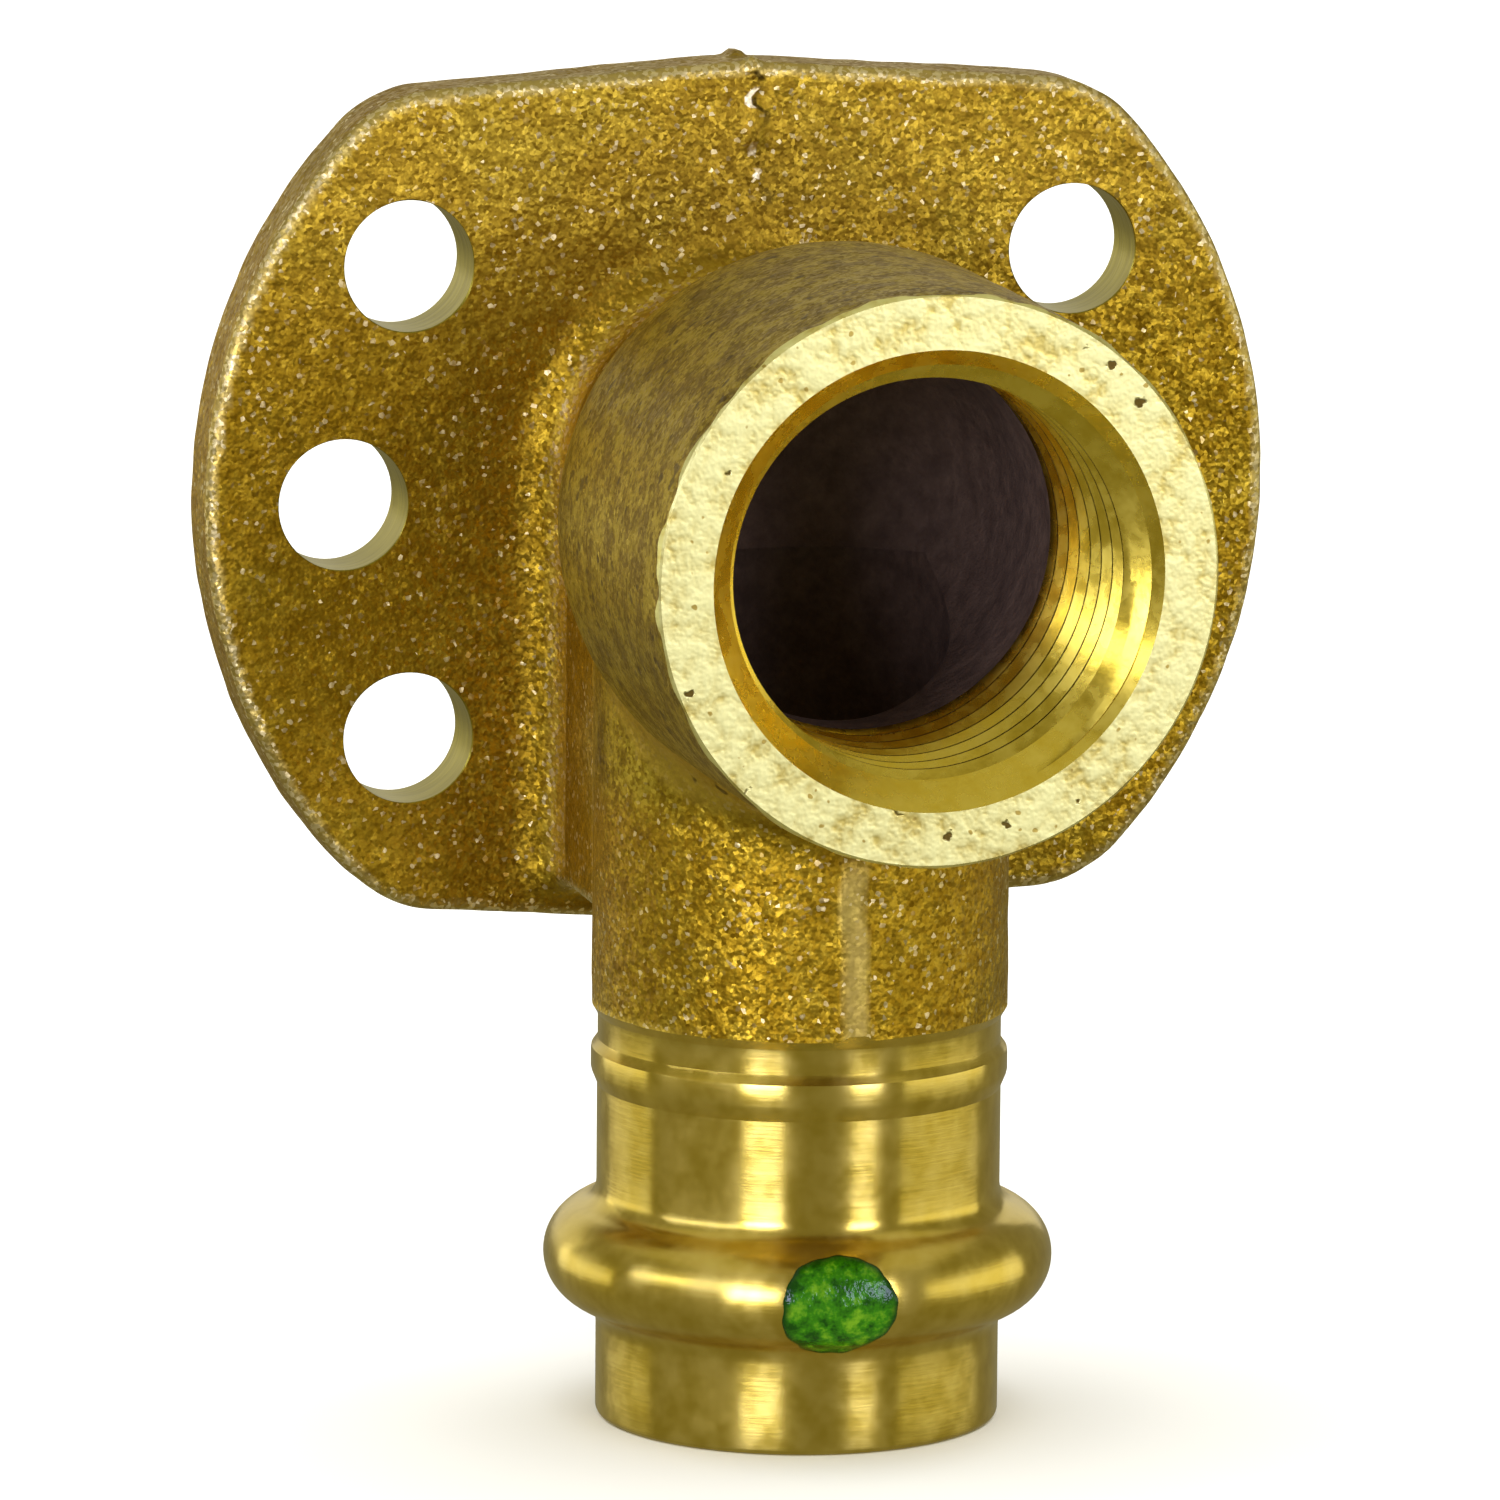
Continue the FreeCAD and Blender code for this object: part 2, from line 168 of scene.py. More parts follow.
def surface_nets(field, origin, h):
    """Vertices and outward quads of the zero surface of a grid of signed distances."""
    inside = field < 0
    nx, ny, nz = field.shape
    count = np.zeros((nx - 1, ny - 1, nz - 1), np.int8)
    for dx in (0, 1):
        for dy in (0, 1):
            for dz in (0, 1):
                count += inside[dx:nx - 1 + dx, dy:ny - 1 + dy, dz:nz - 1 + dz]
    cells = np.argwhere((count > 0) & (count < 8))
    index = np.full(count.shape, -1, np.int64)
    index[cells[:, 0], cells[:, 1], cells[:, 2]] = np.arange(len(cells))
    total, hits = np.zeros((len(cells), 3)), np.zeros(len(cells))
    corners = [(a, b, c) for a in (0, 1) for b in (0, 1) for c in (0, 1)]
    for a in corners:
        for axis in range(3):
            if a[axis]:
                continue
            b = list(a)
            b[axis] = 1
            fa = field[cells[:, 0] + a[0], cells[:, 1] + a[1], cells[:, 2] + a[2]]
            fb = field[cells[:, 0] + b[0], cells[:, 1] + b[1], cells[:, 2] + b[2]]
            cross = (fa < 0) != (fb < 0)
            t = np.where(cross, fa / np.where(cross, fa - fb, 1), 0)
            place = np.array(a, float) + np.outer(t, np.array(b) - np.array(a))
            total[cross] += place[cross]
            hits[cross] += 1
    verts = origin + h * (cells + total / hits[:, None])
    quads = []
    for axis in range(3):
        u, v = (axis + 1) % 3, (axis + 2) % 3
        first = [slice(None)] * 3
        second = [slice(None)] * 3
        first[axis], second[axis] = slice(0, -1), slice(1, None)
        change = inside[tuple(first)] != inside[tuple(second)]
        edge = np.argwhere(change)
        edge = edge[(edge[:, u] > 0) & (edge[:, v] > 0) & (edge[:, u] < field.shape[u] - 1) & (edge[:, v] < field.shape[v] - 1)]
        starts_inside = inside[edge[:, 0], edge[:, 1], edge[:, 2]]
        ring = []
        for du, dv in ((-1, -1), (0, -1), (0, 0), (-1, 0)):
            c = edge.copy()
            c[:, u] += du
            c[:, v] += dv
            ring.append(index[c[:, 0], c[:, 1], c[:, 2]])
        q = np.stack(ring, 1)
        q[~starts_inside] = q[~starts_inside][:, ::-1]
        quads.append(q)
    return verts, np.concatenate(quads)


def slope_of(p, e=0.02):
    g = np.zeros_like(p)
    for k in range(3):
        a, b = p.copy(), p.copy()
        a[:, k] += e
        b[:, k] -= e
        g[:, k] = (casting(*a.T) - casting(*b.T)) / (2 * e)
    return g


def cast_mesh(h):
    low, high = np.array([-27.6, -42.2, -47.0]), np.array([27.6, 2.4, 21.2])
    n = np.ceil((high - low) / h).astype(int) + 1
    axes = [low[k] + h * np.arange(n[k]) for k in range(3)]
    field = np.empty(n)
    for i in range(n[0]):
        y, z = np.meshgrid(axes[1], axes[2], indexing="ij")
        field[i] = casting(np.full(y.size, axes[0][i]), y.ravel(), z.ravel()).reshape(y.shape)
    verts, quads = surface_nets(field, low, h)
    for _ in range(3):
        g = slope_of(verts)
        step = casting(*verts.T)[:, None] * g / np.maximum((g * g).sum(1), 0.25)[:, None]
        verts = verts - np.clip(step, -0.3, 0.3)
    g = slope_of(verts)
    normal = g / np.maximum(np.linalg.norm(g, axis=1), 1e-6)[:, None]
    x, y, z = verts.T
    rb = np.hypot(x, z)
    on_boss = ramp(-y, 11.0, 19.0) * ramp(rb, 9.0, 11.5) * ramp(z, -14.6, -12.2)
    strength = 0.045 * (1 - 0.55 * on_boss)
    grain = 0.55 * noise(verts, 2.7, 1) + 0.75 * noise(verts, 1.25, 2) + 0.25 * noise(verts, 6.0, 3)
    lift = strength * grain
    # broken edge of the boss beside its face
    rim = ramp(-y, 38.3, 39.2) * ramp(rb, 12.0, 13.0)
    lift += rim * (0.10 * noise(verts, 1.1, 8) - 0.03)
    # ground parting strip down the front of the neck
    front = ramp(-y, 20.0, 23.0) * ramp(-z, 14.2, 16.2)
    strip = 1 - ramp(np.abs(x + 0.05 + 0.22 * noise(verts * np.array([0, 0, 1.0]), 2.2, 5)), 0.45, 0.8)
    lift += front * strip * (0.15 + 0.03 * noise(verts, 1.6, 6) - 0.8 * lift)
    # broken line of flash up the middle of the plate
    face = ramp(z, 13.2, 14.2) * ramp(-y, 2.6, 3.4)
    line = np.exp(-((x - 0.5 - 0.25 * noise(verts * np.array([0, 0, 1.0]), 2.0, 9)) / 0.38) ** 2)
    lift += face * line * 0.42 * np.clip(noise(verts * np.array([0, 0, 1.0]), 1.15, 12) + 0.12, 0, 1)
    nub = np.exp(-((x - 0.25) / 0.42) ** 4) * ramp(z, 19.0, 19.5) * ramp(y, -1.9, -1.2)
    lift += nub * 0.3
    moved = verts + normal * lift[:, None]
    return moved, quads


# ------------------------------------------------------------------ meshes
def new_object(name, verts, faces, slot_index=0):
    """Object of vertices in millimetres and of faces as a list, or as an array of quads or triangles."""
    mesh = bpy.data.meshes.new(name)
    if isinstance(faces, np.ndarray):
        n = faces.shape[1]
        mesh.vertices.add(len(verts))
        mesh.vertices.foreach_set("co", (np.asarray(verts, np.float64) * 0.001).astype(np.float32).ravel())
        mesh.loops.add(faces.size)
        mesh.loops.foreach_set("vertex_index", faces.astype(np.int32).ravel())
        mesh.polygons.add(len(faces))
        mesh.polygons.foreach_set("loop_start", np.arange(0, faces.size, n, dtype=np.int32))
        mesh.update(calc_edges=True)
    else:
        mesh.from_pydata([tuple(float(c) * 0.001 for c in v) for v in verts], [], faces)
    mesh.validate()
    mesh.polygons.foreach_set("material_index", np.full(len(mesh.polygons), slot_index, np.int32))
    obj = bpy.data.objects.new(name, mesh)
    bpy.context.scene.collection.objects.link(obj)
    return obj


def outward(verts, faces):
    """The faces, turned over as a whole if they enclose a negative volume."""
    v = np.asarray(verts, float)
    volume = 0.0
    for f in faces:
        for k in range(1, len(f) - 1):
            volume += np.dot(v[f[0]], np.cross(v[f[k]], v[f[k + 1]]))
    return faces if volume > 0 else [tuple(reversed(f)) for f in faces]


def finer(points, step):
    """The profile with its long straight lines cut into shorter ones."""
    out = [points[0]]
    for a, b in zip(points, points[1:]):
        n = max(1, int(math.ceil(math.dist(a, b) / step)))
        out += [(a[0] + (b[0] - a[0]) * k / n, a[1] + (b[1] - a[1]) * k / n) for k in range(1, n + 1)]
    return out


def arc(cx, cy, r, a0, a1, n):
    return [(cx + r * math.cos(math.radians(a0 + (a1 - a0) * k / n)), cy + r * math.sin(math.radians(a0 + (a1 - a0) * k / n)))
            for k in range(n + 1)]


def turned(name, profile, along, n, slot_index, centre=(0.0, 0.0), skew=0.0):
    """Closed solid of revolution from a profile of (radius, place on the axis) that starts and ends on the axis."""
    verts, faces, rings = [], [], []
    for r, a in profile:
        ring = []
        for k in range(1 if r < 1e-9 else n):
            t = 2 * math.pi * (k + skew) / n
            u, w = r * math.cos(t), r * math.sin(t)
            ring.append(len(verts))
            verts.append((centre[0] + u, a, centre[1] + w) if along == "Y" else (centre[0] + u, centre[1] + w, a))
        rings.append(ring)
    for p, q in zip(rings, rings[1:]):
        for k in range(n):
            a, b = p[k % len(p)], p[(k + 1) % n % len(p)]
            c, e = q[(k + 1) % n % len(q)], q[k % len(q)]
            if len(p) == 1 and len(q) == 1:
                continue
            faces.append((a, c, e) if len(p) == 1 else (a, b, c) if len(q) == 1 else (a, b, c, e))
    return new_object(name, verts, outward(verts, faces), slot_index)


def threaded(name, slot_index):
    """Solid of the thread's helical bore. Rows follow the helix, so that crests and roots are clean lines."""
    pitch, per_turn, around = 1.814, 10, 144
    start, turns = -BOSS_FACE - 2.2 * pitch, 11
    rows = per_turn * turns
    end = -BOSS_FACE + THREAD_DEPTH
    shape = [0.0, 0.0, 0.25, 0.5, 0.75, 1.0, 1.0, 0.75, 0.5, 0.25]
    verts = np.zeros((rows + 1, around, 3))
    for i in range(rows + 1):
        for j in range(around):
            y = start + pitch * (i / per_turn + j / around)
            t = 2 * math.pi * j / around
            depth = y + BOSS_FACE
            full = 1.12 - 0.030 * max(depth, 0)
            fade = min(1.0, max(0.0, (end + 0.1 * pitch - y) / (0.7 * pitch)))
            r = THREAD_R + full * fade * shape[i % per_turn]
            verts[i, j] = (r * math.cos(t), y, r * math.sin(t))
    def vid(i, j):
        return i * around + j
    faces = []
    for i in range(rows):
        for j in range(around - 1):
            faces.append((vid(i, j), vid(i + 1, j), vid(i + 1, j + 1), vid(i, j + 1)))
        if i + 1 + per_turn <= rows:
            faces.append((vid(i, around - 1), vid(i + 1, around - 1), vid(i + 1 + per_turn, 0), vid(i + per_turn, 0)))
    points = [tuple(v) for v in verts.reshape(-1, 3)]
    low_loop = [vid(0, j) for j in range(around)] + [vid(i, 0) for i in range(per_turn, 0, -1)]
    high_loop = [vid(rows, j) for j in range(around)] + [vid(i, around - 1) for i in range(rows - 1, rows - per_turn - 1, -1)]
    for loop, y in ((low_loop, start - 1.0), (high_loop, start + pitch * (turns + 1) + 0.6)):
        hub = len(points)
        points.append((0.0, y, 0.0))
        for a, b in zip(loop, loop[1:] + loop[:1]):
            faces.append((hub, a, b) if loop is low_loop else (hub, b, a))
    return points, faces


# ------------------------------------------------------------------ the body: a rough casting, then each machined surface cut into it
def cut(body, tool):
    bpy.context.view_layer.objects.active = body
    step = body.modifiers.new("cut", "BOOLEAN")
    step.operation = "DIFFERENCE"
    step.object = tool
    step.solver = "MANIFOLD"
    with bpy.context.temp_override(object=body, active_object=body, selected_objects=[body]):
        bpy.ops.object.modifier_apply(modifier=step.name)
    mesh = tool.data
    bpy.data.objects.remove(tool)
    bpy.data.meshes.remove(mesh)


verts, quads = cast_mesh(0.34)
body = new_object("elbow", verts, quads, CAST)

big = 32.0
# face of the boss, with its edge broken by a narrow cone that runs out into the casting
cut(body, turned("face_tool", finer([(0, -46), (big, -46), (big, -38.5), (13.53, -38.5), (13.2, -39.28), (13.1, -BOSS_FACE), (0, -BOSS_FACE)], 0.9), "Y", 240, FACED))
# back of the plate
cut(body, new_object("back_tool", [(-40, 0, -60), (40, 0, -60), (40, 0, 40), (-40, 0, 40), (-40, 6, -60), (40, 6, -60), (40, 6, 40), (-40, 6, 40)],
                     [(0, 1, 2, 3), (7, 6, 5, 4), (0, 4, 5, 1), (1, 5, 6, 2), (2, 6, 7, 3), (3, 7, 4, 0)], BACK))
# outside of the socket
lift = math.sqrt((BEAD_ARC + BEAD_FILLET) ** 2 - (SOCKET_R + BEAD_FILLET - BEAD_C) ** 2)
tilt = math.degrees(math.asin(lift / (BEAD_ARC + BEAD_FILLET)))
outside = [(0, -60), (big, -60), (big, -22.0), (10.9, -22.46), (9.66, -24.55), (9.63, -24.75), (9.63, -25.75), (9.68, -25.87), (9.92, -26.2), (9.95, -26.4), (9.95, -27.2), (9.9, -27.4)]
outside += [(SOCKET_R, -28.0)]
outside += arc(SOCKET_R + BEAD_FILLET, -BEAD_Z + lift, BEAD_FILLET, 180, 180 + tilt, 6)
outside += arc(BEAD_C, -BEAD_Z, BEAD_ARC, tilt, -tilt, 28)[1:]
outside += arc(SOCKET_R + BEAD_FILLET, -BEAD_Z - lift, BEAD_FILLET, 180 - tilt, 180, 6)[1:]
outside += arc(SOCKET_R - 0.35, -SOCKET_END + 0.35, 0.35, 0, -90, 5)
outside += [(0, -SOCKET_END)]
cut(body, turned("socket_tool", finer(outside, 1.2), "Z", 200, TURNED, (0.0, AXIS_Y)))
# cast cavity and waterway
hollow = [(0, -BOSS_FACE + THREAD_DEPTH - 1.0), (THREAD_R - 0.3, -BOSS_FACE + THREAD_DEPTH - 1.0), (CAVITY_R, -BOSS_FACE + THREAD_DEPTH), (CAVITY_R, -CAVITY_C)]
hollow += arc(-CAVITY_C, 0, CAVITY_R, 90, 0, 16)[1:]
hollow = [(r, a) if k < 4 else (a, r) for k, (r, a) in enumerate(hollow)]
hollow[-1] = (0, -CAVITY_C + CAVITY_R)
cut(body, turned("cavity_tool", finer(hollow, 1.4), "Y", 96, CAVITY))
cut(body, turned("water_tool", finer([(0, -TUBE_STOP - 1), (WATER_R, -TUBE_STOP - 1), (WATER_R, -3.0), (0, -3.0)], 1.6), "Z", 80, CAVITY, (0.0, AXIS_Y), 0.37))
# tube bore with the ring's groove
half = math.degrees(math.acos((TUBE_R - GROOVE_C) / GROOVE_ARC))
tube = [(0, -60), (TUBE_R + 0.5, -60), (TUBE_R + 0.5, -SOCKET_END), (TUBE_R, -SOCKET_END + 0.5)]
tube += arc(GROOVE_C, -BEAD_Z, GROOVE_ARC, -half, half, 20)
tube += [(TUBE_R, -TUBE_STOP), (0, -TUBE_STOP)]
cut(body, turned("tube_tool", finer(tube, 1.6), "Z", 112, TURNED, (0.0, AXIS_Y), 0.21))
# thread and its mouth
points, faces = threaded("thread_tool", THREAD)
cut(body, new_object("thread_tool", points, outward(points, faces), THREAD))
cut(body, turned("mouth_tool", finer([(0, -46), (MOUTH_R, -46), (MOUTH_R, -BOSS_FACE), (THREAD_R, -BOSS_FACE + MOUTH_DEPTH), (0, -BOSS_FACE + MOUTH_DEPTH)], 0.7), "Y", 240, THREAD, skew=0.5))
# drilled holes
for k, (hx, hz) in enumerate(HOLES):
    edge = 0.12
    hole = [(0, -9), (HOLE_R + 0.5, -9), (HOLE_R + 0.5, -PLATE_T - 0.45), (HOLE_R + edge, -PLATE_T - 0.02), (HOLE_R, -PLATE_T + 0.12), (HOLE_R, 1.5), (0, 1.5)]
    cut(body, turned("drill_%d" % k, finer(hole, 0.8), "Y", 72, DRILLED, (hx, hz), 0.13 * k))

mesh = body.data


def arrays(mesh):
    n = len(mesh.polygons)
    normal, slot, size = np.zeros(n * 3), np.zeros(n, np.int32), np.zeros(n, np.int32)
    mesh.polygons.foreach_get("normal", normal)
    mesh.polygons.foreach_get("material_index", slot)
    mesh.polygons.foreach_get("loop_total", size)
    edge = np.zeros(len(mesh.loops), np.int32)
    mesh.loops.foreach_get("edge_index", edge)
    return normal.reshape(-1, 3), slot, size, edge


normal, slot, size, edge = arrays(mesh)
owner = np.repeat(np.arange(len(size)), size)
order = np.argsort(edge, kind="stable")
pairs = owner[order].reshape(-1, 2)
bend = (normal[pairs[:, 0]] * normal[pairs[:, 1]]).sum(1)
same = slot[pairs[:, 0]] == slot[pairs[:, 1]]
rough = same & (slot[pairs[:, 0]] == CAST)
sharp = ~same | (~rough & (bend < math.cos(math.radians(16))))
flags = mesh.attributes.new("sharp_edge", "BOOLEAN", "EDGE")
flags.data.foreach_set("value", sharp)
mesh.polygons.foreach_set("use_smooth", np.ones(len(mesh.polygons), bool))
print("body", len(mesh.vertices), "vertices", len(mesh.polygons), "faces", int((size - 2).sum()), "triangles", np.bincount(slot, size - 2, minlength=7))


# ------------------------------------------------------------------ materials
def material(name):
    m = bpy.data.materials.new(name)
    m.use_nodes = True
    m.node_tree.nodes.clear()
    out = m.node_tree.nodes.new("ShaderNodeOutputMaterial")
    shader = m.node_tree.nodes.new("ShaderNodeBsdfPrincipled")
    m.node_tree.links.new(shader.outputs["BSDF"], out.inputs["Surface"])
    return m, m.node_tree, shader


def add(nt, kind, values=None, **settings):
    n = nt.nodes.new("ShaderNode" + kind)
    for key, value in settings.items():
        setattr(n, key, value)
    for key, value in (values or {}).items():
        n.inputs[key].default_value = value
    return n


def wire(nt, a, b):
    nt.links.new(a, b)


def grain(nt, where, scale, detail=3.0, rough=0.6, distortion=0.0):
    n = add(nt, "TexNoise", {"Scale": scale, "Detail": detail, "Roughness": rough, "Distortion": distortion})
    wire(nt, where, n.inputs["Vector"])
    return n.outputs["Fac"]


def cells(nt, where, scale, feature="F1", randomness=1.0, out="Distance"):
    n = add(nt, "TexVoronoi", {"Scale": scale, "Randomness": randomness}, feature=feature)
    wire(nt, where, n.inputs["Vector"])
    return n.outputs[out]


def spread(nt, value, a, b, to_a=0.0, to_b=1.0, smooth=True):
    n = add(nt, "MapRange", {"From Min": a, "From Max": b, "To Min": to_a, "To Max": to_b}, interpolation_type="SMOOTHSTEP" if smooth else "LINEAR")
    wire(nt, value, n.inputs["Value"])
    return n.outputs["Result"]


def sums(nt, op, a, b):
    n = add(nt, "Math", operation=op)
    for k, v in enumerate((a, b)):
        if isinstance(v, (int, float)):
            n.inputs[k].default_value = v
        else:
            wire(nt, v, n.inputs[k])
    return n.outputs[0]


def colours(nt, value, stops):
    n = add(nt, "ValToRGB")
    ramp = n.color_ramp
    while len(ramp.elements) < len(stops):
        ramp.elements.new(0.5)
    for e, (at, c) in zip(ramp.elements, stops):
        e.position, e.color = at, (*c, 1)
    wire(nt, value, n.inputs["Fac"])
    return n.outputs["Color"]


def blend(nt, factor, a, b, mode="MIX"):
    n = add(nt, "Mix", data_type="RGBA", blend_type=mode)
    wire(nt, factor, n.inputs[0])
    for k, v in ((6, a), (7, b)):
        if isinstance(v, tuple):
            n.inputs[k].default_value = (*v, 1)
        else:
            wire(nt, v, n.inputs[k])
    return n.outputs[2]


def bump(nt, height, strength, distance, below=None):
    n = add(nt, "Bump", {"Strength": strength, "Distance": distance})
    wire(nt, height, n.inputs["Height"])
    if below is not None:
        wire(nt, below, n.inputs["Normal"])
    return n.outputs["Normal"]


def place(nt):
    return add(nt, "TexCoord").outputs["Object"]


def painted(nt, name):
    return add(nt, "Attribute", attribute_name=name, attribute_type="GEOMETRY").outputs["Fac"]


# what varies over the body, kept at its vertices
v = np.zeros(len(mesh.vertices) * 3, np.float32)
mesh.vertices.foreach_get("co", v)
v = v.reshape(-1, 3).astype(float) * 1000
x, y, z = v.T
rb, rn = np.hypot(x, z), np.hypot(x, y - AXIS_Y)
skin = ramp(-y, 10.0, 17.0) * ramp(rb, 8.5, 11.0) * ramp(z, -15.0, -12.0)
strip = ramp(-y, 20.0, 23.0) * ramp(-z, 14.8, 16.6) * (1 - ramp(np.abs(x + 0.05 + 0.22 * noise(v * np.array([0, 0, 1.0]), 2.2, 5)), 0.45, 0.8))
e = 0.35
bent = -6 * casting(x, y, z)
for step in ((e, 0, 0), (0, e, 0), (0, 0, e)):
    for side in (1, -1):
        bent += casting(x + side * step[0], y + side * step[1], z + side * step[2])
bent = np.where(np.abs(casting(x, y, z)) < 0.6, bent / (e * e), 0)
g = slope_of(v)
lean = np.hypot(g[:, 0], g[:, 2]) / np.maximum(np.linalg.norm(g, axis=1), 1e-6)
# hollow marks the concave fillet beside the boss; further on it is coloured brighter as a painted highlight
crest, hollow = ramp(bent, 0.5, 1.3), ramp(-bent, 0.12, 0.34) * ramp(lean, 0.66, 0.9)
root = np.where(z < 0, np.minimum(np.abs(x), rb), rb) - THROAT_R - 1.6
shade = ramp(lean, 0.75, 0.45) * (1 - ramp(root, 0.5, 9.5)) * ramp(-y, 2.5, 3.5) * (1 - ramp(-y, 6.0, 7.0))
# painted top light: the plate's front coloured paler towards its top
painted_top_light = ramp(z, 3.0, 15.0) * (1 - ramp(-y, 6.0, 9.0))
for name, values in (("skin", skin), ("strip", strip), ("crest", crest), ("hollow", hollow), ("shade", shade), ("painted_top_light", painted_top_light)):
    mesh.attributes.new(name, "FLOAT", "POINT").data.foreach_set("value", values.astype(np.float32))

slots = []

# sand-cast skin: small facets that lie at all angles, some of them bright from the lamps and some coloured pale as
# painted glints; smoother and more olive round the boss
m, nt, shader = material("cast_brass")
at = place(nt)
smooth = painted(nt, "skin")
ground = painted(nt, "strip")
crest = painted(nt, "crest")
hollow = painted(nt, "hollow")
shade = painted(nt, "shade")
painted_top_light = painted(nt, "painted_top_light")
facet = add(nt, "SeparateColor")
face_cells = cells(nt, at, 4900, out="Color")
wire(nt, face_cells, facet.inputs["Color"])
tone = grain(nt, at, 900, 3.0, 0.65)
broad = grain(nt, at, 160, 2.0, 0.6)
pits = spread(nt, grain(nt, at, 950, 1.0, 0.6), 0.34, 0.28, 0.0, 1.0)
tone = sums(nt, "ADD", sums(nt, "MULTIPLY", tone, 0.75), sums(nt, "MULTIPLY", facet.outputs["Red"], 0.25))
stain = sums(nt, "ADD", sums(nt, "MULTIPLY", grain(nt, at, 620, 4.0, 0.75), 2.0), sums(nt, "SUBTRACT", sums(nt, "MULTIPLY", facet.outputs["Red"], 0.36), 0.68))
warm = colours(nt, tone, [(0.3, (0.265, 0.145, 0.004)), (0.5, (0.385, 0.23, 0.010)), (0.7, (0.495, 0.32, 0.020))])
drab = colours(nt, tone, [(0.3, (0.26, 0.155, 0.005)), (0.5, (0.375, 0.24, 0.012)), (0.7, (0.47, 0.32, 0.024))])
olive = colours(nt, stain, [(0.3, (0.20, 0.127, 0.0035)), (0.5, (0.33, 0.227, 0.010)), (0.7, (0.49, 0.362, 0.030))])
warm = blend(nt, spread(nt, broad, 0.46, 0.70), warm, drab)
colour = blend(nt, sums(nt, "MULTIPLY", smooth, 0.85), warm, olive)
# painted glints: a few facets coloured pale, more of them on crests and along the fillet's hollow, fewer on the boss
more = sums(nt, "MAXIMUM", crest, sums(nt, "MULTIPLY", hollow, 0.6))
painted_glint = spread(nt, sums(nt, "ADD", facet.outputs["Green"], sums(nt, "MULTIPLY", more, 0.35)), 0.93, 1.0)
painted_glint = sums(nt, "MULTIPLY", painted_glint, sums(nt, "SUBTRACT", 0.62, sums(nt, "MULTIPLY", smooth, 0.56)))
# painted top light: paler towards the top of the plate
colour = blend(nt, sums(nt, "MULTIPLY", painted_top_light, 0.10), colour, (0.62, 0.45, 0.075))
# painted highlight: brighter along the fillet's hollow beside the boss
colour = blend(nt, sums(nt, "MULTIPLY", hollow, 0.75), colour, (0.74, 0.52, 0.06))
colour = blend(nt, sums(nt, "MULTIPLY", crest, 0.35), colour, (0.80, 0.68, 0.24))
colour = blend(nt, sums(nt, "MULTIPLY", smooth, sums(nt, "MULTIPLY", pits, 0.75)), colour, (0.10, 0.06, 0.006))
colour = blend(nt, sums(nt, "MULTIPLY", shade, 0.5), colour, (0.16, 0.09, 0.006))
colour = blend(nt, painted_glint, colour, (0.95, 0.80, 0.38))
colour = blend(nt, sums(nt, "MULTIPLY", ground, 0.5), colour, (0.66, 0.52, 0.13))
# torn flash up the middle of the plate: pale flakes as painted highlights, with a dark line beside them as painted
# shadow
where = add(nt, "SeparateXYZ")
wire(nt, at, where.inputs["Vector"])
flake = add(nt, "SeparateColor")
torn = add(nt, "TexNoise", {"Scale": 760.0, "Detail": 2.0}, noise_dimensions="1D")
wire(nt, where.outputs["Z"], torn.inputs["W"])
wire(nt, torn.outputs["Color"], flake.inputs["Color"])
above = sums(nt, "MULTIPLY", spread(nt, where.outputs["Z"], 0.0128, 0.0138), spread(nt, where.outputs["Y"], -0.0062, -0.0050))
aside = sums(nt, "ADD", where.outputs["X"], spread(nt, flake.outputs["Green"], 0.3, 0.7, -0.00015, -0.00085, False))
beside = sums(nt, "ABSOLUTE", sums(nt, "SUBTRACT", aside, 0.00027), 0.0)
painted_flash_shadow = sums(nt, "MULTIPLY", above, sums(nt, "MULTIPLY", spread(nt, beside, 0.00026, 0.00008), spread(nt, flake.outputs["Blue"], 0.36, 0.50)))
painted_flash_shadow = sums(nt, "MULTIPLY", painted_flash_shadow, spread(nt, where.outputs["Z"], 0.0160, 0.0176, 0.25, 1.0))
painted_flash_highlight = sums(nt, "MULTIPLY", above, sums(nt, "MULTIPLY", spread(nt, sums(nt, "ABSOLUTE", aside, 0.0), 0.00021, 0.00010), spread(nt, flake.outputs["Red"], 0.49, 0.57)))
colour = blend(nt, sums(nt, "MULTIPLY", painted_flash_shadow, 0.9), colour, (0.045, 0.026, 0.004))
colour = blend(nt, painted_flash_highlight, colour, (0.92, 0.79, 0.43))
# painted shade: a small dark spot above the boss stands in for the shadow of a casting dimple that the mesh does not
# have
away = add(nt, "Mapping", {"Location": (-0.0012, 0.0, -0.0131), "Scale": (1.0, 0.0, 1.0)})
wire(nt, at, away.inputs["Vector"])
gap = add(nt, "VectorMath", operation="LENGTH")
wire(nt, away.outputs["Vector"], gap.inputs[0])
painted_dimple_shade = spread(nt, sums(nt, "ADD", gap.outputs["Value"], sums(nt, "MULTIPLY", tone, 0.0006)), 0.00085, 0.0005)
painted_dimple_shade = sums(nt, "MULTIPLY", painted_dimple_shade, spread(nt, where.outputs["Y"], -0.0100, -0.0090))
colour = blend(nt, sums(nt, "MULTIPLY", painted_dimple_shade, 0.7), colour, (0.07, 0.042, 0.006))
wire(nt, colour, shader.inputs["Base Color"])
shader.inputs["Metallic"].default_value = 1.0
wire(nt, spread(nt, tone, 0.3, 0.7, 0.54, 0.42), shader.inputs["Roughness"])
quiet = sums(nt, "SUBTRACT", 1.0, sums(nt, "MULTIPLY", smooth, 0.55))
quiet = sums(nt, "MULTIPLY", quiet, sums(nt, "SUBTRACT", 1.0, sums(nt, "MULTIPLY", ground, 0.7)))
